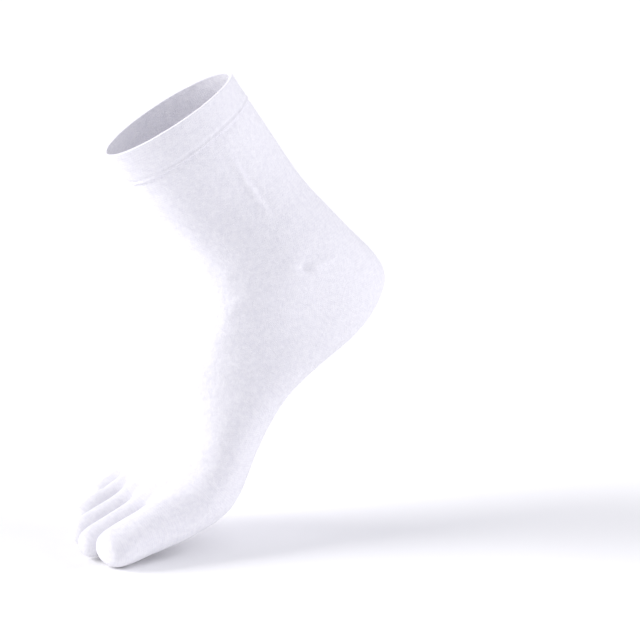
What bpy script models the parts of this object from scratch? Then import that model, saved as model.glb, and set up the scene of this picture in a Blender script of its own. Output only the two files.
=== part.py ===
"""Toe sock for the right foot, worn and on tiptoe: a knit ankle sock with five toe pockets.

The cloth is shaped in a standing foot frame (forward from the back of the heel, side towards the
big toe, up from the sole), then bent at the ankle and the ball, and last tipped onto the toes.
World frame: +Z up, the toes point to -Y, the big toe's side is +X, origin in the cuff's mouth.
"""
import math
from collections import namedtuple

import bmesh
import bpy
import numpy as np

# driving sizes, metres and degrees
FOOT_LENGTH = 0.235      # stretched sock, back of heel to big toe, the unit of lengths and heights
BALL_WIDTH = 0.085       # across the ball of the foot, the unit of side widths
CLOTH = 0.0015           # wall of the foot, heel and leg
POCKET_CLOTH = 0.0014    # wall of the toe pockets
BAND_CLOTH = 0.0021      # wall of the doubled band at the top
BAND_PROUD = 0.0004      # the band stands this far out of the leg
SEAM_GAP = 0.0003        # clearance between two neighbouring pieces
POCKET_GAP = 0.0004      # the same at a toe pocket's seam
HEEL_GAP = 0.0006        # the same at the slanting cut between heel and foot
WEB_FORWARD = 0.0045     # the web between two toes lies this far in front of their groove
ANKLE_BEND = 5.0         # leg turned back about the ankle
LEG_LEAN = 9.5           # leg leaning towards the little toe's side
TOE_BEND = 26.0          # toes turned up about the ball
HEEL_RAISE = 38.0        # sole's slope on tiptoe
SIDE_ROLL = 4.0          # big toe's side raised
SMOOTHED = 1.12          # an eight-sided ring is drawn this much larger, as smoothing shrinks it

# one row per cross section, from the cuff to the ball. The top and low points are shares of
# FOOT_LENGTH, the half widths shares of BALL_WIDTH; round is the outline's power, slant moves the
# big toe's side forward (share of FOOT_LENGTH), turn is the share of the ankle's bend, toes is the
# share by which the spacing round the ring follows the toes.
Section = namedtuple("Section", "name top_on top_up low_on low_up inner outer round slant turn toes")
SECTIONS = (
    Section("rim",      0.409, 0.702, 0.079, 0.681, 0.430, 0.430, 2.0, 0.000, 1.00, 0.0),
    Section("band",     0.406, 0.660, 0.080, 0.649, 0.416, 0.416, 2.0, 0.000, 1.00, 0.0),
    Section("leg_1",    0.401, 0.620, 0.079, 0.617, 0.402, 0.402, 2.0, 0.000, 1.00, 0.0),
    Section("leg_2",    0.400, 0.549, 0.079, 0.546, 0.368, 0.368, 2.0, 0.000, 1.00, 0.0),
    Section("leg_3",    0.398, 0.481, 0.080, 0.468, 0.340, 0.340, 2.0, 0.000, 1.00, 0.0),
    Section("ankle_1",  0.401, 0.426, 0.081, 0.387, 0.345, 0.345, 2.0, 0.000, 0.90, 0.0),
    Section("ankle_2",  0.413, 0.377, 0.069, 0.298, 0.370, 0.370, 2.1, 0.000, 0.75, 0.0),
    Section("heel_1",   0.431, 0.344, 0.057, 0.217, 0.382, 0.382, 2.1, 0.000, 0.50, 0.0),
    Section("heel_2",   0.459, 0.317, 0.042, 0.136, 0.372, 0.372, 2.1, 0.000, 0.25, 0.0),
    Section("heel_3",   0.494, 0.299, 0.048, 0.075, 0.360, 0.360, 2.1, 0.000, 0.08, 0.0),
    Section("heel_4",   0.527, 0.277, 0.090, 0.046, 0.360, 0.360, 2.2, 0.000, 0.00, 0.0),
    Section("heel_5",   0.557, 0.264, 0.170, 0.031, 0.370, 0.370, 2.2, 0.000, 0.00, 0.0),
    Section("arch_1",   0.592, 0.241, 0.294, 0.053, 0.372, 0.405, 2.2, 0.000, 0.00, 0.0),
    Section("arch_2",   0.632, 0.215, 0.417, 0.074, 0.382, 0.436, 2.2, 0.004, 0.00, 0.15),
    Section("ball_1",   0.680, 0.190, 0.536, 0.0565, 0.405, 0.472, 2.3, 0.013, 0.00, 0.4),
    Section("ball_2",   0.730, 0.166, 0.634, 0.018, 0.438, 0.505, 2.3, 0.026, 0.00, 0.7),
    Section("ball_3",   0.772, 0.134, 0.720, 0.003, 0.487, 0.530, 2.4, 0.043, 0.00, 1.0),
)
# the knit below the band is cut across into pieces, each from its first row to its last
Piece = namedtuple("Piece", "name first last gap")
PIECES = (
    Piece("sock_leg", "leg_1", "leg_3", SEAM_GAP),
    Piece("sock_ankle", "leg_3", "ankle_2", SEAM_GAP),
    Piece("sock_heel", "ankle_2", "arch_1", SEAM_GAP),
    Piece("sock_foot", "arch_1", "ball_1", HEEL_GAP),
    Piece("sock_ball", "ball_1", "ball_3", SEAM_GAP),
)

# one row per toe: root and tip forward and the half heights as shares of FOOT_LENGTH, the half
# width and the clearance to the toe before it as shares of BALL_WIDTH; stub is the share of the
# toe's length that belongs to the ball's piece
Toe = namedtuple("Toe", "name root_on tip_on half_width clear root_high tip_high stub")
TOES = (
    Toe("big_toe",    0.877, 1.036, 0.142, 0.000, 0.0510, 0.0410, 0.20),
    Toe("second_toe", 0.885, 1.036, 0.089, 0.000, 0.0425, 0.0340, 0.20),
    Toe("third_toe",  0.868, 1.014, 0.087, 0.004, 0.0400, 0.0330, 0.20),
    Toe("fourth_toe", 0.834, 0.963, 0.085, 0.007, 0.0390, 0.0320, 0.25),
    Toe("little_toe", 0.796, 0.876, 0.086, 0.012, 0.0355, 0.0270, 0.45),
)
TOE_SIDE = 0.315         # big toe's middle line, share of BALL_WIDTH at the roots
TOE_NARROW = 0.95        # toes' spacing at the tips against that at the roots
TOES_APART = 0.893       # two toes' middles lie this share of their cages' half widths apart
TOE_SOLE_UP = 0.0106     # the toes' soles, share of FOOT_LENGTH
# one row per ring of a toe's pocket: how far along it, and the width and height there against
# the table's
Ring = namedtuple("Ring", "along wide high")
POCKET_RINGS = (
    Ring(0.00, 0.97, 0.98),
    Ring(0.35, 0.97, 0.97),
    Ring(0.72, 1.02, 0.95),
    Ring(0.94, 0.80, 0.76),
)
TIP_BULGE = 1.056        # the tip's middle lies this far along
AROUND = 24              # points round a foot section: 1 side, 11 top, 1 side, 11 sole

# ring where the toes begin, shares of FOOT_LENGTH: how far behind the roots, and the heights
LINE_BACK = 0.013
LINE_TOP = 0.0234        # over the toe's full height
LINE_SOLE = 0.0064
GROOVE_TOP = 0.0085      # over the groove's height
GROOVE_SOLE = 0.017
GROOVE_DEEP = 0.93       # a groove's height against the mean height of its two toes
EDGE_BACK = 0.017        # the two outer edges lie this far behind the roots
EDGE_TOP = 0.0106
EDGE_SOLE = 0.0145
SIDE_UP = 0.011
EDGE_WIDE = 0.80         # the edges' and sides' places, shares of the toe's half width
SIDE_WIDE = 1.06
BIG_SIDE_WIDE = 1.15

# places of the joints as shares of FOOT_LENGTH
ANKLE_ON = 0.255
ANKLE_UP = 0.264
BALL_LINE = ((0.735, 0.170, 0.060), (0.640, -0.191, 0.051))
BALL_SOFT = 0.094        # the toes' bend is spread over this length on each side of the line

KNIT = ((0.86, 0.85, 0.89, 1.0), 0.0, 0.92)
BAND_KNIT = ((0.84, 0.83, 0.87, 1.0), 0.0, 0.9)


def turned(points, axis, degrees):
    """Points turned about an axis through the origin; degrees may differ from point to point."""
    axis = np.asarray(axis, float)
    axis = axis / np.linalg.norm(axis)
    angle = np.radians(np.broadcast_to(degrees, (len(points),)))[:, None]
    along = (points @ axis)[:, None] * axis
    return points * np.cos(angle) + np.cross(axis, points) * np.sin(angle) + along * (1 - np.cos(angle))


def posed(points, ankle_share):
    """Standing foot to tiptoe: ankle and ball are bent, then the whole sock is tipped forward."""
    ankle = np.array([ANKLE_ON, 0.0, ANKLE_UP]) * FOOT_LENGTH
    out = turned(points - ankle, (0, -1, 0), ANKLE_BEND * ankle_share)
    out = turned(out, (1, 0, 0), LEG_LEAN * ankle_share) + ankle
    first = np.array(BALL_LINE[0]) * FOOT_LENGTH
    second = np.array(BALL_LINE[1]) * FOOT_LENGTH
    line = second - first
    ahead = np.array([-line[1], line[0], 0.0])
    ahead = ahead / np.linalg.norm(ahead)
    share = np.clip(((out - first) @ ahead) / (2 * BALL_SOFT * FOOT_LENGTH) + 0.5, 0, 1)
    share = share * share * (3 - 2 * share) * (1 - ankle_share)
    out = turned(out - first, line, TOE_BEND * share) + first
    out = turned(out, (1, 0, 0), SIDE_ROLL)
    out = turned(out, (0, 1, 0), HEEL_RAISE)
    return np.stack([out[:, 1], -out[:, 0], out[:, 2]], 1)


def toe_places():
    """Middle line of each toe at root and tip, laid side by side with their clearances."""
    roots = [TOE_SIDE * BALL_WIDTH]
    for before, toe in zip(TOES, TOES[1:]):
        halves = (before.half_width + toe.half_width) * SMOOTHED * TOES_APART
        roots.append(roots[-1] - (halves + toe.clear) * BALL_WIDTH)
    middle = roots[1]
    return [(root, middle + (root - middle) * TOE_NARROW) for root in roots]


def toe_ring(toe, sides, ring):
    """Eight points round one toe: an ellipse across the toe's straight middle line."""
    root, tip = sides
    along = toe.stub + (1 - toe.stub) * ring.along
    shrink = 1 + (TOE_NARROW - 1) * along
    on = (toe.root_on + (toe.tip_on - toe.root_on) * along) * FOOT_LENGTH
    side = root + (tip - root) * along
    high = (toe.root_high + (toe.tip_high - toe.root_high) * along) * FOOT_LENGTH
    up = high + TOE_SOLE_UP * FOOT_LENGTH
    angle = np.radians([135, 90, 45, 0, -45, -90, -135, 180])
    wide = toe.half_width * BALL_WIDTH * ring.wide * shrink * SMOOTHED
    tall = high * ring.high * SMOOTHED
    return np.stack([np.full(8, on), side - np.cos(angle) * wide, up + np.sin(angle) * tall], 1)


def toe_line():
    """Ring where the toes begin: their tops and soles with the grooves between, and the webs."""
    places = [root for root, tip in toe_places()]
    roots = np.array([toe.root_on for toe in TOES]) * FOOT_LENGTH
    widths = np.array([toe.half_width for toe in TOES]) * BALL_WIDTH
    highs = np.array([toe.root_high for toe in TOES]) * FOOT_LENGTH
    top = np.zeros((11, 3))
    sole = np.zeros((11, 3))
    line_on = roots - LINE_BACK * FOOT_LENGTH
    edge_on = roots - EDGE_BACK * FOOT_LENGTH
    for i in range(5):
        top[2 * i + 1] = (line_on[i], places[i], 2 * highs[i] + LINE_TOP * FOOT_LENGTH)
        sole[2 * i + 1] = (line_on[i], places[i], LINE_SOLE * FOOT_LENGTH)
    for i in range(4):
        on = (line_on[i] + line_on[i + 1]) / 2
        side = places[i] - widths[i] - TOES[i + 1].clear * BALL_WIDTH / 2
        height = GROOVE_DEEP * (highs[i] + highs[i + 1]) + GROOVE_TOP * FOOT_LENGTH
        top[2 * i + 2] = (on, side, height)
        sole[2 * i + 2] = (on, side, GROOVE_SOLE * FOOT_LENGTH)
    for i, k, out in ((0, 0, 1), (4, 10, -1)):
        side = places[i] + out * EDGE_WIDE * widths[i]
        top[k] = (edge_on[i], side, 2 * EDGE_WIDE * highs[i] + EDGE_TOP * FOOT_LENGTH)
        sole[k] = (edge_on[i], side, EDGE_SOLE * FOOT_LENGTH)
    inner = (edge_on[0], places[0] + BIG_SIDE_WIDE * widths[0], highs[0] + SIDE_UP * FOOT_LENGTH)
    outer = (edge_on[4], places[4] - SIDE_WIDE * widths[4], highs[4] + SIDE_UP * FOOT_LENGTH)
    ring = np.concatenate([[inner], top, [outer], sole[::-1]])
    webs = (top[2:10:2] + sole[2:10:2]) / 2 + np.array([WEB_FORWARD, 0, 0])
    return ring, webs


def section_ring(row, toe_ring_points, proud=0.0):
    """Ring of AROUND points: a rounded oval between the row's top and low points."""
    angle = np.arange(AROUND) * 2 * math.pi / AROUND
    reach = toe_ring_points[:, 1]
    by_toes = np.where(reach > 0, reach / reach.max(), -reach / reach.min())
    across = (1 - row.toes) * np.cos(angle) + row.toes * by_toes
    height = np.sign(np.sin(angle)) * np.sqrt(np.clip(1 - across ** 2, 0, 1))
    across[[0, 12]] = (1, -1)
    height[[0, 12]] = 0
    across = np.sign(across) * np.abs(across) ** (2 / row.round)
    height = np.sign(height) * np.abs(height) ** (2 / row.round)
    top = np.array([row.top_on, row.top_up]) * FOOT_LENGTH
    low = np.array([row.low_on, row.low_up]) * FOOT_LENGTH
    half = (top - low) / 2
    half = half * (1 + proud / np.linalg.norm(half))
    on = (top + low)[0] / 2 + height * half[0] + row.slant * FOOT_LENGTH * across
    up = (top + low)[1] / 2 + height * half[1]
    side = across * (np.where(across > 0, row.inner, row.outer) * BALL_WIDTH + proud)
    return np.stack([on, side, up], 1)


def bridge(first, second, closed=True):
    """Quads between two rings of point numbers."""
    count = len(first)
    return [(first[j], first[(j + 1) % count], second[(j + 1) % count], second[j])
            for j in range(count if closed else count - 1)]


def tube(rings):
    """Quads down a stack of rings of equal length, and the point numbers of the last ring."""
    count = len(rings[0])
    numbers = [list(range(i * count, (i + 1) * count)) for i in range(len(rings))]
    faces = [face for a, b in zip(numbers, numbers[1:]) for face in bridge(a, b)]
    return faces, numbers[-1]


def rows_from(first, last):
    """The sections from one name to another, both taken in."""
    names = [row.name for row in SECTIONS]
    return SECTIONS[names.index(first):names.index(last) + 1]


def band_cage():
    line, webs = toe_line()
    rows = rows_from("rim", PIECES[0].first)
    faces, last = tube([section_ring(row, line, BAND_PROUD) for row in rows])
    points = np.concatenate([section_ring(row, line, BAND_PROUD) for row in rows])
    return points, np.repeat([row.turn for row in rows], AROUND), faces


def body_rings(piece):
    """A piece's rings; the first is set off square from the neighbour's last by the gap."""
    line, webs = toe_line()
    rows = rows_from(piece.first, piece.last)
    rings = [section_ring(row, line) for row in rows]
    square = np.cross(rings[0][6] - rings[0][0], rings[0][18] - rings[0][6])
    square = square / np.linalg.norm(square)
    step = rings[1] - rings[0]
    rings[0] = rings[0] + step * (piece.gap / (step @ square))[:, None]
    return rings, [row.turn for row in rows]


def body_cage(piece):
    """Leg, ankle, heel or foot: a tube of the piece's rings."""
    rings, turns = body_rings(piece)
    faces, last = tube(rings)
    return np.concatenate(rings), np.repeat(turns, AROUND), faces


def ball_cage(piece):
    """Ball of the foot down to the toe line, then five short stubs with webs between them."""
    line, webs = toe_line()
    rings, turns = body_rings(piece)
    rings = rings + [line]
    faces, last = tube(rings)
    points = np.concatenate(rings + [webs])
    shares = np.concatenate([np.repeat(turns + [0.0], AROUND), np.zeros(4)])
    middles = [last[0]] + [len(rings) * AROUND + i for i in range(4)] + [last[12]]
    for i, (toe, sides) in enumerate(zip(TOES, toe_places())):
        upper = last[1 + 2 * i:4 + 2 * i]
        lower = last[21 - 2 * i:24 - 2 * i]
        around = upper + [middles[i + 1]] + lower + [middles[i]]
        start = len(points)
        points = np.concatenate([points, toe_ring(toe, sides, POCKET_RINGS[0])])
        shares = np.concatenate([shares, np.zeros(8)])
        faces = faces + bridge(around, list(range(start, start + 8)))
    return points, shares, faces


def pocket_cage(toe, sides):
    """Toe pocket: rings from the seam to a rounded tip of four quads."""
    seam = POCKET_GAP / ((toe.tip_on - toe.root_on) * (1 - toe.stub) * FOOT_LENGTH)
    first = POCKET_RINGS[0]._replace(along=seam)
    rings = [toe_ring(toe, sides, ring) for ring in (first,) + POCKET_RINGS[1:]]
    faces, last = tube(rings)
    tip = toe_ring(toe, sides, Ring(TIP_BULGE, 0.0, 0.0))[:1]
    points = np.concatenate(rings + [tip])
    middle = len(points) - 1
    faces = faces + [(middle, last[j - 1], last[j], last[j + 1]) for j in (0, 2, 4, 6)]
    return points, np.zeros(len(points)), faces


def material(name, look):
    color, metallic, roughness = look
    made = bpy.data.materials.new(name)
    made.use_nodes = True
    shader = made.node_tree.nodes["Principled BSDF"]
    shader.inputs["Base Color"].default_value = color
    shader.inputs["Metallic"].default_value = metallic
    shader.inputs["Roughness"].default_value = roughness
    return made


def shell(name, cage, wall, look, mount, collection, home):
    """Cloth piece: the open cage is smoothed once, and the wall grows inwards from it."""
    points, shares, faces = cage
    mesh = bpy.data.meshes.new(name)
    mesh.from_pydata((posed(points, shares) - mount).tolist(), [], faces)
    work = bmesh.new()
    work.from_mesh(mesh)
    bmesh.ops.recalc_face_normals(work, faces=work.faces)
    work.to_mesh(mesh)
    work.free()
    mesh.shade_smooth()
    piece = bpy.data.objects.new(name, mesh)
    piece.data.materials.append(material(name + "_cloth", look))
    smooth = piece.modifiers.new("smooth", "SUBSURF")
    smooth.levels = 1
    smooth.render_levels = 1
    wall_maker = piece.modifiers.new("wall", "SOLIDIFY")
    wall_maker.thickness = wall
    wall_maker.offset = -1.0
    wall_maker.use_even_offset = True
    wall_maker.use_rim = True
    piece.parent = home
    collection.objects.link(piece)
    return piece


for old in list(bpy.data.objects):
    bpy.data.objects.remove(old)

sock = bpy.data.collections.new("toe_sock")
bpy.context.scene.collection.children.link(sock)
home = bpy.data.objects.new("toe_sock_origin", None)
home.empty_display_size = 0.25 * BALL_WIDTH
sock.objects.link(home)

rim_points = section_ring(SECTIONS[0], toe_line()[0])
mouth = posed(rim_points, np.ones(AROUND)).mean(0)

shell("cuff_band", band_cage(), BAND_CLOTH, BAND_KNIT, mouth, sock, home)
for piece in PIECES[:-1]:
    shell(piece.name, body_cage(piece), CLOTH, KNIT, mouth, sock, home)
shell(PIECES[-1].name, ball_cage(PIECES[-1]), CLOTH, KNIT, mouth, sock, home)
for toe, sides in zip(TOES, toe_places()):
    shell(toe.name, pocket_cage(toe, sides), POCKET_CLOTH, KNIT, mouth, sock, home)
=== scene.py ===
"""A toe sock for the right foot, worn and on tiptoe: fine white cotton knit with a doubled cuff.

Row frame: +Z up, the toes point to -Y, the big toe's side is +X, the origin is the cuff's mouth.
"""
import math

import bpy
import numpy as np
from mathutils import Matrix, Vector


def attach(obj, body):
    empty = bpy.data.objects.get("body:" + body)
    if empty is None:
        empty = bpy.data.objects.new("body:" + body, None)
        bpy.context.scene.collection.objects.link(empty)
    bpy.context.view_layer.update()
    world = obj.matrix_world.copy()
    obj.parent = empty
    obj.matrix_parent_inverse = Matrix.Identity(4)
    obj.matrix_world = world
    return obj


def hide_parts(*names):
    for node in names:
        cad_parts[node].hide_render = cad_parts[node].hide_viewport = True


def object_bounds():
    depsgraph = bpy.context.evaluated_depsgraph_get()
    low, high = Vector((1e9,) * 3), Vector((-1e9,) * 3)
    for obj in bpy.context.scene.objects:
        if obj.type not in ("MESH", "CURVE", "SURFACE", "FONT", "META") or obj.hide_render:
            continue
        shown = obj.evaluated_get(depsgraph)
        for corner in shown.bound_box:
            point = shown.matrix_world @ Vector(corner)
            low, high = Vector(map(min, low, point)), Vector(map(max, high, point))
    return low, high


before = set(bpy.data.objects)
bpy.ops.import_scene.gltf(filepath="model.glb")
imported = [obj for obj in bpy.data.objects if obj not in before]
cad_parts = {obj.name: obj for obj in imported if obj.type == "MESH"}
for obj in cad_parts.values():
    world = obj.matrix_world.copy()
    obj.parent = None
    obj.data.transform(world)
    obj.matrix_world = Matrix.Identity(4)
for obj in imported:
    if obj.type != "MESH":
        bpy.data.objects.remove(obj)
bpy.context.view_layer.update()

# The foot of the sock: leg, heel and sole in one plain knit tube of white cotton that opens into
# five toes. It is knit on a circular machine and keeps the shape of the foot that it is worn on.
FOOT_LENGTH = 0.235
BALL_WIDTH = 0.085
CLOTH = 0.0015           # wall of the knit on leg and foot
AROUND = 24              # points round the leg and foot
SMOOTHED = 1.12          # a toe's cage is this much larger, because smoothing draws it in

# from the rim to the ball: top point and low point (forward, up) as shares of FOOT_LENGTH, half
# widths as shares of BALL_WIDTH, roundness, slant, share of the ankle's bend, share of toe spacing
SECTIONS = np.array([
    (0.409, 0.702, 0.079, 0.681, 0.430, 0.430, 2.0, 0.000, 1.00, 0.0),
    (0.406, 0.660, 0.080, 0.649, 0.416, 0.416, 2.0, 0.000, 1.00, 0.0),
    (0.401, 0.620, 0.079, 0.617, 0.402, 0.402, 2.0, 0.000, 1.00, 0.0),
    (0.400, 0.549, 0.079, 0.546, 0.368, 0.368, 2.0, 0.000, 1.00, 0.0),
    (0.398, 0.481, 0.080, 0.468, 0.340, 0.340, 2.0, 0.000, 1.00, 0.0),
    (0.401, 0.426, 0.081, 0.387, 0.345, 0.345, 2.0, 0.000, 0.90, 0.0),
    (0.413, 0.377, 0.069, 0.298, 0.370, 0.370, 2.1, 0.000, 0.75, 0.0),
    (0.431, 0.344, 0.057, 0.217, 0.382, 0.382, 2.1, 0.000, 0.50, 0.0),
    (0.459, 0.317, 0.042, 0.136, 0.372, 0.372, 2.1, 0.000, 0.25, 0.0),
    (0.494, 0.299, 0.048, 0.075, 0.360, 0.360, 2.1, 0.000, 0.08, 0.0),
    (0.527, 0.277, 0.090, 0.046, 0.360, 0.360, 2.2, 0.000, 0.00, 0.0),
    (0.557, 0.264, 0.170, 0.031, 0.370, 0.370, 2.2, 0.000, 0.00, 0.0),
    (0.592, 0.241, 0.294, 0.053, 0.372, 0.405, 2.2, 0.000, 0.00, 0.0),
    (0.632, 0.215, 0.417, 0.074, 0.382, 0.436, 2.2, 0.004, 0.00, 0.15),
    (0.680, 0.190, 0.536, 0.0565, 0.405, 0.472, 2.3, 0.013, 0.00, 0.4),
    (0.730, 0.166, 0.634, 0.018, 0.438, 0.505, 2.3, 0.026, 0.00, 0.7),
    (0.772, 0.134, 0.720, 0.003, 0.487, 0.530, 2.4, 0.043, 0.00, 1.0),
])
# per toe: root and tip forward, half width, clearance to the toe before it, half heights, stub
TOES = np.array([
    (0.877, 1.036, 0.142, 0.000, 0.0510, 0.0410, 0.20),
    (0.885, 1.036, 0.089, 0.000, 0.0425, 0.0340, 0.20),
    (0.868, 1.014, 0.087, 0.004, 0.0400, 0.0330, 0.20),
    (0.834, 0.963, 0.085, 0.007, 0.0390, 0.0320, 0.25),
    (0.796, 0.876, 0.086, 0.012, 0.0355, 0.0270, 0.45),
])
TOE_NAMES = ("big_toe", "second_toe", "third_toe", "fourth_toe", "little_toe")
TOE_SIDE = 0.315         # the big toe's middle, share of BALL_WIDTH
TOE_NARROW = 0.95        # a toe's width at its tip, and how far the toes draw together there
TOES_APART = 0.893       # two toes' middles lie this share of their cages' half widths apart
TOE_SOLE_UP = 0.0106     # the toes' soles, share of FOOT_LENGTH
TOE_STATIONS = np.array([0.0, 0.35, 0.72, 0.94])
TOE_WIDE = (0.97, 0.97, 1.02, 0.80)
TOE_HIGH = (0.98, 0.97, 0.95, 0.76)
TIP_BULGE = 1.056        # where the cage of a toe ends, share of the toe's length
WEB_AHEAD = 0.0045       # the webs lie this far ahead of the line where the toes begin


def turned(points, axis, degrees):
    """Points turned about an axis through the origin, by an angle that may differ from one to the next."""
    axis = np.asarray(axis, float) / np.linalg.norm(axis)
    angle = np.radians(np.broadcast_to(degrees, len(points)))[:, None]
    along = (points @ axis)[:, None] * axis
    return points * np.cos(angle) + np.cross(axis, points) * np.sin(angle) + along * (1 - np.cos(angle))


def worn(points, ankle_share):
    """Standing foot to tiptoe: leg turned 5 degrees back and leaning 9.5, toes bent up 26 about the
    slanting line of the ball, the big toe's side raised 4 and the heel raised 38."""
    ankle = np.array([0.255, 0.0, 0.264]) * FOOT_LENGTH
    out = turned(points - ankle, (0, -1, 0), 5.0 * ankle_share)
    out = turned(out, (1, 0, 0), 9.5 * ankle_share) + ankle
    first = np.array([0.735, 0.170, 0.060]) * FOOT_LENGTH
    line = np.array([0.640, -0.191, 0.051]) * FOOT_LENGTH - first
    ahead = np.array([-line[1], line[0], 0.0]) / math.hypot(line[0], line[1])
    share = np.clip(((out - first) @ ahead) / (0.188 * FOOT_LENGTH) + 0.5, 0, 1)
    share = share * share * (3 - 2 * share) * (1 - ankle_share)
    out = turned(out - first, line, 26.0 * share) + first
    out = turned(turned(out, (1, 0, 0), 4.0), (0, 1, 0), 38.0)
    return np.stack([out[:, 1], -out[:, 0], out[:, 2]], 1)


def toe_middles():
    """Middle line of each toe at its root and its tip, laid side by side."""
    steps = (TOES[:-1, 2] + TOES[1:, 2]) * SMOOTHED * TOES_APART + TOES[1:, 3]
    roots = (TOE_SIDE - np.concatenate([[0], np.cumsum(steps)])) * BALL_WIDTH
    return roots, roots[1] + (roots - roots[1]) * TOE_NARROW


def toe_rings(toe, along, wide, high):
    """Eight points round each station of a toe: ellipses strung on the toe's straight middle line."""
    along, wide, high = (np.asarray(v, float)[:, None] for v in (along, wide, high))
    root_on, tip_on, half, clear, root_high, tip_high, stub = TOES[toe]
    along = stub + (1 - stub) * along
    roots, tips = toe_middles()
    angle = np.radians([135, 90, 45, 0, -45, -90, -135, 180])
    on = (root_on + (tip_on - root_on) * along) * FOOT_LENGTH + 0 * angle
    side = roots[toe] + (tips[toe] - roots[toe]) * along
    tall = (root_high + (tip_high - root_high) * along) * FOOT_LENGTH
    reach = half * BALL_WIDTH * wide * (1 + (TOE_NARROW - 1) * along) * SMOOTHED
    up = TOE_SOLE_UP * FOOT_LENGTH + tall + np.sin(angle) * tall * high * SMOOTHED
    return np.stack([on, side - np.cos(angle) * reach, up], 2)


def toe_line():
    """Ring where the toes begin, with the grooves between them, and the four webs."""
    places = toe_middles()[0]
    roots, widths, highs = TOES[:, 0] * FOOT_LENGTH, TOES[:, 2] * BALL_WIDTH, TOES[:, 4] * FOOT_LENGTH
    top, sole = np.zeros((11, 3)), np.zeros((11, 3))
    line_on, edge_on = roots - 0.013 * FOOT_LENGTH, roots - 0.017 * FOOT_LENGTH
    top[1:11:2] = np.stack([line_on, places, 2 * highs + 0.0234 * FOOT_LENGTH], 1)
    sole[1:11:2] = np.stack([line_on, places, np.full(5, 0.0064 * FOOT_LENGTH)], 1)
    on = (line_on[:-1] + line_on[1:]) / 2
    side = places[:-1] - widths[:-1] - TOES[1:, 3] * BALL_WIDTH / 2
    top[2:10:2] = np.stack([on, side, 0.93 * (highs[:-1] + highs[1:]) + 0.0085 * FOOT_LENGTH], 1)
    sole[2:10:2] = np.stack([on, side, np.full(4, 0.017 * FOOT_LENGTH)], 1)
    for toe, end, out in ((0, 0, 1), (4, 10, -1)):
        edge = places[toe] + out * 0.80 * widths[toe]
        top[end] = (edge_on[toe], edge, 1.6 * highs[toe] + 0.0106 * FOOT_LENGTH)
        sole[end] = (edge_on[toe], edge, 0.0145 * FOOT_LENGTH)
    inner = (edge_on[0], places[0] + 1.15 * widths[0], highs[0] + 0.011 * FOOT_LENGTH)
    outer = (edge_on[4], places[4] - 1.06 * widths[4], highs[4] + 0.011 * FOOT_LENGTH)
    ring = np.concatenate([[inner], top, [outer], sole[::-1]])
    return ring, (top[2:10:2] + sole[2:10:2]) / 2 + np.array([WEB_AHEAD, 0, 0])


def foot_rings(rows, proud=0.0):
    """Rings round the leg and foot: in each row a rounded oval between its top and low points."""
    angle = np.arange(AROUND) * 2 * math.pi / AROUND
    reach = toe_line()[0][:, 1]
    by_toes = np.where(reach > 0, reach / reach.max(), -reach / reach.min())
    toes = rows[:, 9:10]
    across = (1 - toes) * np.cos(angle) + toes * by_toes
    height = np.sign(np.sin(angle)) * np.sqrt(np.clip(1 - across ** 2, 0, 1))
    across[:, [0, 12]] = (1, -1)
    height[:, [0, 12]] = 0
    power = 2 / rows[:, 6:7]
    across = np.sign(across) * np.abs(across) ** power
    height = np.sign(height) * np.abs(height) ** power
    top, low = rows[:, 0:2] * FOOT_LENGTH, rows[:, 2:4] * FOOT_LENGTH
    half = (top - low) / 2
    half = half * (1 + proud / np.linalg.norm(half, axis=1, keepdims=True))
    on = (top + low)[:, 0:1] / 2 + height * half[:, 0:1] + rows[:, 7:8] * FOOT_LENGTH * across
    up = (top + low)[:, 1:2] / 2 + height * half[:, 1:2]
    side = across * (np.where(across > 0, rows[:, 4:5], rows[:, 5:6]) * BALL_WIDTH + proud)
    return np.stack([on, side, up], 2)


def between(rows):
    """The table with one more row between each two, on a smooth curve through the rows."""
    ends = np.concatenate([2 * rows[:1] - rows[1:2], rows, 2 * rows[-1:] - rows[-2:-1]])
    middle = (9 * (rows[:-1] + rows[1:]) - ends[:-3] - ends[3:]) / 16
    out = np.zeros((2 * len(rows) - 1, rows.shape[1]))
    out[::2], out[1::2] = rows, middle
    out[:, 8:10] = np.clip(out[:, 8:10], 0, 1)
    return out


def grid_faces(count, around):
    """Quads of a tube of count rings with around points each, ring after ring."""
    row, place = np.divmod(np.arange((count - 1) * around), around)
    step = (place + 1) % around
    return np.stack([row * around + place, row * around + step,
                     (row + 1) * around + step, (row + 1) * around + place], 1)


def corner_columns(column):
    """Places round the tube of a quad's four corners, from that of its first corner."""
    return np.stack([column, column + 1, column + 1, column], 1)


def corner_lengths(lengths, row):
    """Lengths down the knit of a quad's four corners, from the row that it starts in."""
    return np.stack([lengths[row], lengths[row], lengths[row + 1], lengths[row + 1]], 1)


MOUTH = worn(foot_rings(SECTIONS[:1])[0], np.ones(AROUND)).mean(0)
COURSE = 0.0011          # one knit row
WALES = 7                # knit columns to each of the 24 points round the foot

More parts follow.
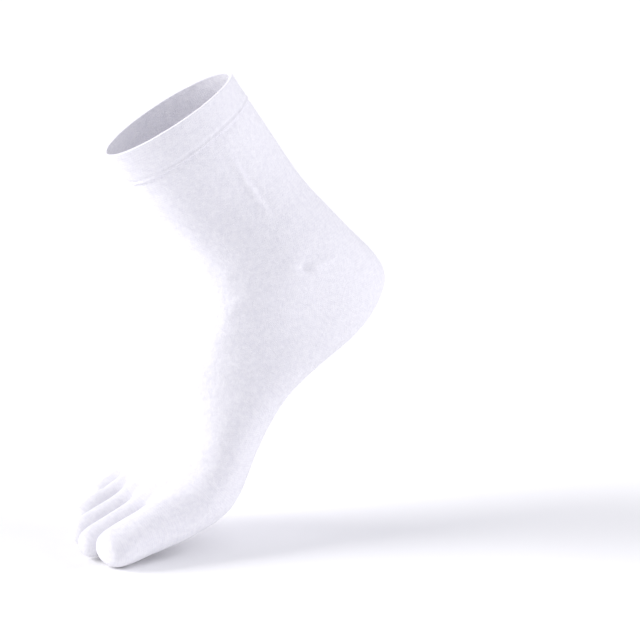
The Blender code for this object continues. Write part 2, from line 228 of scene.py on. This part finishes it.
leg_rows = between(SECTIONS[2:])
line, webs = toe_line()
rings = np.concatenate([foot_rings(leg_rows), line[None]])
count = len(rings)
points = np.concatenate([rings.reshape(-1, 3), webs])
shares = np.concatenate([np.repeat(np.append(leg_rows[:, 8], 0.0), AROUND), np.zeros(4)])
middles = rings.mean(1)
lengths = np.concatenate([[0], np.cumsum(np.linalg.norm(np.diff(middles, axis=0), axis=1))])
faces = [grid_faces(count, AROUND)]
marks = [np.zeros(len(faces[0]), int)]
last = (count - 1) * AROUND + np.arange(AROUND)
walls = [last[0]] + [count * AROUND + i for i in range(4)] + [last[12]]
quad_row, quad_column = np.divmod(np.arange((count - 1) * AROUND), AROUND)
corner_u = [corner_columns(quad_column)]
corner_v = [corner_lengths(lengths, quad_row)]
for toe in range(len(TOES)):
    ring_points = toe_rings(toe, TOE_STATIONS, TOE_WIDE, TOE_HIGH)
    tip = toe_rings(toe, [TIP_BULGE], [0.0], [0.0])[0, :1]
    start = len(points)
    upper, lower = last[1 + 2 * toe:4 + 2 * toe], last[21 - 2 * toe:24 - 2 * toe]
    root = np.concatenate([upper, [walls[toe + 1]], lower, [walls[toe]]])
    numbers = np.concatenate([root, start + np.arange(32)])
    quads = numbers[grid_faces(5, 8)]
    end = numbers[-8:]
    cap = np.array([(start + 32, end[j - 1], end[j], end[j + 1]) for j in (0, 2, 4, 6)])
    points = np.concatenate([points, ring_points.reshape(-1, 3), tip])
    shares = np.concatenate([shares, np.zeros(33)])
    faces += [quads, cap]
    marks += [np.repeat([0, toe + 1, toe + 1, toe + 1], 8), np.full(4, toe + 1)]
    long = (TOES[toe, 1] - TOES[toe, 0]) * FOOT_LENGTH
    stub = TOES[toe, 6]
    reach = lengths[-1] + np.concatenate([[0], stub + (1 - stub) * np.append(TOE_STATIONS, TIP_BULGE)]) * long
    level, place = np.divmod(np.arange(4 * 8), 8)
    corner_u += [corner_columns(place + 1 + 2 * toe),
                 np.stack([np.array([0, 2, 4, 6]) + shift + 1 + 2 * toe for shift in (0, -1, 0, 1)], 1)]
    corner_v += [corner_lengths(reach, level), np.tile([reach[5], reach[4], reach[4], reach[4]], (4, 1))]
faces, marks = np.concatenate(faces), np.concatenate(marks)
knit = np.stack([np.concatenate(corner_u).ravel() * WALES, np.concatenate(corner_v).ravel() / COURSE], 1)
places = worn(points, shares) - MOUTH


def new_mesh(name, verts, quads, uv):
    """A mesh of quads with the knit's own columns and rows as its UV map and its open edges crisp."""
    mesh = bpy.data.meshes.new(name)
    mesh.vertices.add(len(verts))
    mesh.vertices.foreach_set("co", np.ascontiguousarray(verts, np.float32).ravel())
    mesh.loops.add(quads.size)
    mesh.loops.foreach_set("vertex_index", quads.ravel().astype(np.int32))
    mesh.polygons.add(len(quads))
    mesh.polygons.foreach_set("loop_start", np.arange(0, quads.size, 4, dtype=np.int32))
    mesh.update(calc_edges=True)
    layer = mesh.uv_layers.new(name="knit")
    layer.data.foreach_set("uv", np.ascontiguousarray(uv, np.float32).ravel())
    mesh.polygons.foreach_set("use_smooth", np.ones(len(quads), bool))
    mesh.validate()
    ends = np.empty(len(mesh.edges) * 2, np.int32)
    mesh.edges.foreach_get("vertices", ends)
    ends = np.sort(ends.reshape(-1, 2), axis=1).astype(np.int64)
    rounds = np.sort(np.stack([quads, np.roll(quads, -1, axis=1)], 2).reshape(-1, 2), axis=1).astype(np.int64)
    key, uses = np.unique(rounds[:, 0] * len(verts) + rounds[:, 1], return_counts=True)
    single = np.isin(ends[:, 0] * len(verts) + ends[:, 1], key[uses == 1])
    mesh.attributes.new("sharp_edge", "BOOLEAN", "EDGE").data.foreach_set("value", single)
    return mesh


def smoothed(name, verts, quads, uv, marks, levels):
    """The rounded surface that a coarse cage of quads draws, turned so that its faces look outwards:
    its points, quads, UV, normals and marks."""
    mesh = new_mesh(name, verts, quads, uv)
    tag = mesh.attributes.new("mark", "INT", "FACE")
    tag.data.foreach_set("value", marks.astype(np.int32))
    holder = bpy.data.objects.new(name, mesh)
    bpy.context.scene.collection.objects.link(holder)
    smooth = holder.modifiers.new("smooth", "SUBSURF")
    smooth.levels = smooth.render_levels = levels
    fine = holder.evaluated_get(bpy.context.evaluated_depsgraph_get()).to_mesh()
    size = len(fine.vertices)
    co, normal = np.empty(size * 3, np.float32), np.empty(size * 3, np.float32)
    fine.vertices.foreach_get("co", co)
    fine.vertex_normals.foreach_get("vector", normal)
    loops = np.empty(len(fine.loops), np.int32)
    fine.loops.foreach_get("vertex_index", loops)
    fine_uv = np.empty(len(fine.loops) * 2, np.float32)
    fine.uv_layers["knit"].data.foreach_get("uv", fine_uv)
    fine_marks = np.empty(len(fine.polygons), np.int32)
    fine.attributes["mark"].data.foreach_get("value", fine_marks)
    bpy.data.objects.remove(holder)
    outer, normal = co.reshape(-1, 3).astype(float), normal.reshape(-1, 3).astype(float)
    fine_quads, fine_uv = loops.reshape(-1, 4), fine_uv.reshape(-1, 4, 2)
    if (normal * (outer - outer.mean(0))).sum() < 0:
        fine_quads, fine_uv, normal = fine_quads[:, ::-1], fine_uv[:, ::-1], -normal
    return outer, fine_quads, fine_uv.reshape(-1, 2), normal, fine_marks


skin, quads, uv, normal, region = smoothed("sock_shape", places, faces, knit, marks, 3)

# Folds and hollows of the worn cloth, in millimetres: middle, run, half length, half width, height.
FOLDS = (
    ((39.5, 21.0, -34.0), (0.16, 0.52, -0.84), 20.0, 2.0, 1.10),     # ridge down the inner shin
    ((41.0, 26.5, -38.0), (0.16, 0.52, -0.84), 18.0, 2.4, -0.60),
    ((36.0, -2.0, 1.0), (0.05, 0.50, -0.86), 9.0, 1.8, 0.35),
    ((53.6, 46.0, -77.5), (0.05, 0.90, -0.42), 4.5, 2.2, -2.60),     # dimple behind the ankle bone
    ((54.0, 53.0, -76.0), (0.02, 0.97, 0.22), 12.0, 2.4, 1.10),
    ((52.5, 39.0, -72.0), (0.10, 0.80, -0.60), 11.0, 9.0, 1.10),     # the ankle bone
    ((54.5, 58.0, -92.0), (0.00, 0.75, 0.66), 16.0, 10.0, -0.50),
    ((41.0, 14.0, -80.0), (0.32, 0.93, 0.10), 14.0, 2.4, -0.65),     # creases over the instep
    ((42.5, 16.0, -91.0), (0.30, 0.94, 0.15), 17.0, 2.4, 0.60),
    ((43.0, 17.0, -98.0), (0.30, 0.94, 0.18), 15.0, 2.2, -0.60),
    ((41.5, 13.0, -107.0), (0.27, 0.94, 0.22), 15.0, 2.6, 0.30),
    ((57.0, 15.0, -141.0), (0.03, 0.75, -0.66), 20.0, 3.0, 0.30),    # drawn cloth along the arch
    ((57.0, 22.0, -136.0), (0.03, 0.70, -0.71), 18.0, 3.0, -0.35),
    ((54.0, -15.0, -168.0), (0.25, -0.75, 0.61), 13.0, 2.6, -0.40),  # behind the big toe's joint
    ((33.0, -22.0, -171.0), (0.90, 0.10, 0.42), 16.0, 3.0, -0.30),   # bend across the toes' roots
    ((52.5, -74.5, -196.0), (0.85, -0.10, -0.50), 5.5, 4.5, 0.55),   # the big nail under the cloth
    ((53.5, -72.0, -192.0), (0.90, -0.05, -0.42), 6.0, 1.6, -0.40),
    ((22.0, -14.0, -62.0), (0.75, -0.60, -0.25), 14.0, 2.6, -0.35),  # front of the ankle
    ((24.0, -6.0, -76.0), (0.80, -0.55, -0.20), 14.0, 2.6, 0.35),
    ((-5.0, 45.0, -80.0), (0.05, 0.85, -0.52), 9.0, 8.0, 0.90),      # the outer ankle bone
    ((-6.0, 52.0, -92.0), (0.02, 0.90, 0.42), 12.0, 2.4, -0.60),
    ((20.0, 100.0, -86.0), (1.00, 0.00, 0.10), 16.0, 3.0, -0.40),    # above the heel
    ((20.0, 92.0, -70.0), (1.00, 0.00, -0.10), 15.0, 3.0, 0.35),
)


def draped(places, normals):
    """Places moved out along their normals by the folds: each one its height times a bell along its
    run and a bell across it, plus a slow unevenness, products of two sine waves 18 to 21 mm long."""
    spot = places * 1000
    height = 0.10 * np.sin(spot @ (0.21, 0.13, 0.17) + 1.0) * np.sin(spot @ (-0.11, 0.19, 0.23))
    height += 0.08 * np.sin(spot @ (0.05, -0.29, 0.16)) * np.sin(spot @ (0.31, 0.07, -0.12) + 2.0)
    for middle, run, half_length, half_width, rise in FOLDS:
        run = np.array(run) / np.linalg.norm(run)
        away = spot - middle
        along = away @ run
        across = np.linalg.norm(away - along[:, None] * run, axis=1)
        height += rise * np.exp(-(along / half_length) ** 2 - (across / half_width) ** 2)
    return places + normals * (height / 1000)[:, None]


def off_cuff_edge(places):
    """Distance of each place from the plane of the cuff's lower edge, in millimetres."""
    edge_ring = worn(foot_rings(SECTIONS[2:3])[0], np.ones(AROUND)) - MOUTH
    square = np.cross(edge_ring[6] - edge_ring[0], edge_ring[12] - edge_ring[6])
    return np.abs((places - edge_ring.mean(0)) @ (square / np.linalg.norm(square))) * 1000


skin = draped(skin, normal)
# the leg is drawn in where the doubled cuff is stitched down, over this many millimetres
DRAWN_IN = 0.0005
DRAWN_REACH = 2.2
skin = skin - normal * (DRAWN_IN * np.exp(-(off_cuff_edge(skin) / DRAWN_REACH) ** 2))[:, None]


def part_of(name, keep):
    """The quads of one region as a mesh of its own, with only the points that they use."""
    used, inverse = np.unique(quads[keep], return_inverse=True)
    return new_mesh(name, skin[used], inverse.reshape(-1, 4), uv.reshape(-1, 4, 2)[keep].reshape(-1, 2))


def cloth_piece(name, mesh, wall, material, nodes):
    """A knit piece: the outer surface given its wall inwards, fixed to the body of its node."""
    piece = bpy.data.objects.new(name, mesh)
    bpy.context.scene.collection.objects.link(piece)
    mesh.materials.append(material)
    thick = piece.modifiers.new("wall", "SOLIDIFY")
    thick.thickness = wall
    thick.offset = -1.0
    thick.use_even_offset = True
    thick.use_rim = True
    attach(piece, "root")
    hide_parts(*nodes)
    return piece


def knit_group():
    """Plain knit: in every column a stitch is a V, two slanting legs that rise and fall; the group
    gives the stitches' height, a soft fuzz and a slow mottle of the cotton."""
    group = bpy.data.node_groups.new("plain_knit", "ShaderNodeTree")
    for label, kind, value in (("Columns", "NodeSocketVector", None),
                               ("Fuzz Scale", "NodeSocketFloat", 900.0),
                               ("Mottle Scale", "NodeSocketFloat", 420.0)):
        made = group.interface.new_socket(name=label, in_out="INPUT", socket_type=kind)
        if value is not None:
            made.default_value = value
    for label in ("Stitch", "Fuzz", "Mottle"):
        group.interface.new_socket(name=label, in_out="OUTPUT", socket_type="NodeSocketFloat")
    nodes, links = group.nodes, group.links
    source, sink = nodes.new("NodeGroupInput"), nodes.new("NodeGroupOutput")

    def calc(kind, first, second=None, third=None):
        node = nodes.new("ShaderNodeMath")
        node.operation = kind
        for slot_number, value in enumerate((first, second, third)):
            if value is None:
                continue
            if isinstance(value, (int, float)):
                node.inputs[slot_number].default_value = value
            else:
                links.new(value, node.inputs[slot_number])
        return node.outputs[0]

    split = nodes.new("ShaderNodeSeparateXYZ")
    links.new(source.outputs["Columns"], split.inputs[0])
    across = calc("FRACT", split.outputs["X"])
    off = calc("ABSOLUTE", calc("SUBTRACT", across, 0.5))
    lift = calc("ADD", split.outputs["Y"], calc("MULTIPLY", off, 1.3))
    wave = calc("MULTIPLY_ADD", calc("SINE", calc("MULTIPLY", lift, 2 * math.pi)), 0.5, 0.5)
    leg = calc("SINE", calc("MULTIPLY", off, 2 * math.pi))
    stitch = calc("MULTIPLY", calc("POWER", wave, 0.7), calc("POWER", leg, 0.5))
    links.new(stitch, sink.inputs["Stitch"])
    coordinates = nodes.new("ShaderNodeTexCoord")
    fuzz = nodes.new("ShaderNodeTexNoise")
    fuzz.inputs["Detail"].default_value = 4.0
    fuzz.inputs["Roughness"].default_value = 0.65
    links.new(coordinates.outputs["Object"], fuzz.inputs["Vector"])
    links.new(source.outputs["Fuzz Scale"], fuzz.inputs["Scale"])
    links.new(fuzz.outputs["Fac"], sink.inputs["Fuzz"])
    mottle = nodes.new("ShaderNodeTexNoise")
    mottle.inputs["Detail"].default_value = 3.0
    mottle.inputs["Roughness"].default_value = 0.6
    links.new(coordinates.outputs["Object"], mottle.inputs["Vector"])
    links.new(source.outputs["Mottle Scale"], mottle.inputs["Scale"])
    links.new(mottle.outputs["Fac"], sink.inputs["Mottle"])
    return group


plain_knit = knit_group()


def knit_material(name, low, high, stitch_depth, mottle_depth):
    """White cotton knit: colour between two near whites by mottle and stitch. The mottle is the cotton's own
    random tone; the stitches give painted shade in their hollows and painted light on their tops. Bump comes
    from the stitches, the mottle and the fuzz, and there is a soft sheen of loose fibre."""
    made = bpy.data.materials.new(name)
    made.use_nodes = True
    nodes, links = made.node_tree.nodes, made.node_tree.links
    shader = nodes["Principled BSDF"]
    shader.inputs["Roughness"].default_value = 0.9
    shader.inputs["Sheen Weight"].default_value = 0.35
    shader.inputs["Sheen Roughness"].default_value = 0.5
    shader.inputs["Specular IOR Level"].default_value = 0.2
    knitted = nodes.new("ShaderNodeGroup")
    knitted.node_tree = plain_knit
    columns = nodes.new("ShaderNodeUVMap")
    columns.uv_map = "knit"
    links.new(columns.outputs["UV"], knitted.inputs["Columns"])
    # the stitches' height is added to the mottle here, so the colour paints shade into the stitches' hollows
    # and light onto their tops
    shade = nodes.new("ShaderNodeMath")
    shade.operation = "MULTIPLY_ADD"
    links.new(knitted.outputs["Stitch"], shade.inputs[0])
    shade.inputs[1].default_value = 0.30
    links.new(knitted.outputs["Mottle"], shade.inputs[2])
    tint = nodes.new("ShaderNodeValToRGB")
    tint.color_ramp.elements[0].position = 0.38
    tint.color_ramp.elements[0].color = low
    tint.color_ramp.elements[1].position = 0.88
    tint.color_ramp.elements[1].color = high
    links.new(shade.outputs[0], tint.inputs["Fac"])
    links.new(tint.outputs["Color"], shader.inputs["Base Color"])
    bumps = None
    for label, depth in (("Mottle", mottle_depth), ("Stitch", stitch_depth), ("Fuzz", 0.00003)):
        bump = nodes.new("ShaderNodeBump")
        bump.inputs["Strength"].default_value = 1.0
        bump.inputs["Distance"].default_value = depth
        links.new(knitted.outputs[label], bump.inputs["Height"])
        if bumps is not None:
            links.new(bumps, bump.inputs["Normal"])
        bumps = bump.outputs["Normal"]
    links.new(bumps, shader.inputs["Normal"])
    return made


# ends of the knit's colour: the darker one is painted shade in the stitches' hollows, the lighter one painted
# light on their tops, both also spread by the cotton's random mottle
HOLLOW_SHADE_AND_MOTTLE_WHITE = (0.84, 0.83, 0.89, 1)
RAISED_LIGHT_AND_MOTTLE_WHITE = (0.95, 0.94, 0.975, 1)
white_knit = knit_material("white_cotton_knit", HOLLOW_SHADE_AND_MOTTLE_WHITE, RAISED_LIGHT_AND_MOTTLE_WHITE, 0.00008, 0.00034)
cloth_piece("sock_body_knit", part_of("sock_body_knit", region == 0), CLOTH, white_knit,
            ["sock_leg", "sock_ankle", "sock_heel", "sock_foot", "sock_ball"])

# The five toe pockets: closed tubes of the same knit that carry on from the roots of the toes,
# rounded off over the toe tips and pressed against each other.
TOE_CLOTH = 0.0014
for toe, toe_name in enumerate(TOE_NAMES):
    cloth_piece(toe_name + "_knit", part_of(toe_name + "_knit", region == toe + 1), TOE_CLOTH,
                white_knit, [toe_name])

# The cuff: the knit turned in and doubled, with a folded edge at the mouth and one row of stitches
# that holds the turned part down at its lower edge.
BAND_WALL = 0.0021
BAND_PROUD = 0.0004      # the band stands this far out from the leg
band_rows = between(between(SECTIONS[:3]))
band_rings = foot_rings(band_rows, BAND_PROUD)
band_places = worn(band_rings.reshape(-1, 3), np.ones(len(band_rows) * AROUND)) - MOUTH
drop = np.linalg.norm(np.diff(band_rings.mean(1), axis=0), axis=1)
depth = np.concatenate([[0], np.cumsum(drop)])
band_quads = grid_faces(len(band_rows), AROUND)
band_row, band_column = np.divmod(np.arange(len(band_quads)), AROUND)
band_uv = np.stack([corner_columns(band_column).ravel() * WALES,
                    corner_lengths(depth, band_row).ravel() / COURSE], 1)
band_skin, band_fine, band_fine_uv, band_normal, _ = smoothed(
    "band_shape", band_places, band_quads, band_uv, np.zeros(len(band_quads), int), 2)
# the cloth's slow unevenness, and the groove of the stitched line: its depth, then its height above
# the band's lower edge and its reach to each side, both in millimetres
GROOVE = 0.00045
GROOVE_UP = 1.9
GROOVE_REACH = 0.8
off_line = (off_cuff_edge(band_skin) - GROOVE_UP) / GROOVE_REACH
band_skin = draped(band_skin, band_normal) - band_normal * (GROOVE * np.exp(-off_line ** 2))[:, None]
band_knit = knit_material("band_cotton_knit", HOLLOW_SHADE_AND_MOTTLE_WHITE, RAISED_LIGHT_AND_MOTTLE_WHITE, 0.00009, 0.00030)
cuff = cloth_piece("cuff_band_knit", new_mesh("cuff_band_knit", band_skin, band_fine, band_fine_uv),
                   BAND_WALL, band_knit, ["cuff_band"])
fold = cuff.modifiers.new("fold", "BEVEL")
fold.width = 0.0008
fold.segments = 3
fold.limit_method = "ANGLE"
fold.angle_limit = math.radians(50)

# The floor of the studio: a plain pale sheet well larger than the view, just under the toes and
# the ball of the foot.
FLOOR_UNDER = 0.0005
FLOOR_REACH = 6.0
low_point = float(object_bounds()[0][2]) - FLOOR_UNDER
floor_mesh = bpy.data.meshes.new("studio_floor")
floor_mesh.from_pydata([(x * FLOOR_REACH, y * FLOOR_REACH, low_point)
                        for x, y in ((-1, -1), (1, -1), (1, 1), (-1, 1))], [], [(0, 1, 2, 3)])
floor = bpy.data.objects.new("studio_floor", floor_mesh)
bpy.context.scene.collection.objects.link(floor)
floor_white = bpy.data.materials.new("floor_white")
floor_white.use_nodes = True
floor_white.node_tree.nodes["Principled BSDF"].inputs["Base Color"].default_value = (0.98, 0.98, 0.985, 1)
floor_white.node_tree.nodes["Principled BSDF"].inputs["Roughness"].default_value = 0.95
floor_mesh.materials.append(floor_white)

# The studio's light: a bright soft key on the shin's side, a softer one on the heel's side, and an
# even pale surround.
surround = bpy.data.worlds.new("studio")
bpy.context.scene.world = surround
surround.use_nodes = True
surround.node_tree.nodes["Background"].inputs["Color"].default_value = (0.93, 0.93, 1.0, 1)
surround.node_tree.nodes["Background"].inputs["Strength"].default_value = 0.63


def soft_light(name, azimuth, elevation, spread, strength, color):
    """A wide, far soft box: parallel light that is spread over an angle, from an azimuth (0 is the
    toes' side, 90 the big toe's side) and a height above the floor, in degrees."""
    turn, rise = math.radians(azimuth), math.radians(elevation)
    lamp = bpy.data.lights.new(name, "SUN")
    lamp.angle = math.radians(spread)
    lamp.energy = strength
    lamp.color = color
    made = bpy.data.objects.new(name, lamp)
    made.rotation_euler = (math.pi / 2 - rise, 0.0, turn)
    bpy.context.scene.collection.objects.link(made)


soft_light("key_light", -40, 27, 36, 2.4, (1.0, 0.99, 0.98))
soft_light("heel_light", 145, 24, 45, 1.15, (0.98, 0.97, 1.0))
bpy.context.scene.view_settings.view_transform = "Standard"

# The camera: upright, a little above the foot and turned down to it, looking at the big toe's side
# and the toes.
CAMERA_AT = (1.136, -0.809, 0.171)
CAMERA_TURN = 51.384
CAMERA_DOWN = 11.255
lens = bpy.data.cameras.new("camera")
lens.lens = 155.97
lens.sensor_width = 36.0
lens.clip_end = 20.0
camera = bpy.data.objects.new("camera", lens)
camera.location = CAMERA_AT
camera.rotation_euler = (math.radians(90 - CAMERA_DOWN), 0.0, math.radians(CAMERA_TURN))
bpy.context.scene.collection.objects.link(camera)
bpy.context.scene.camera = camera
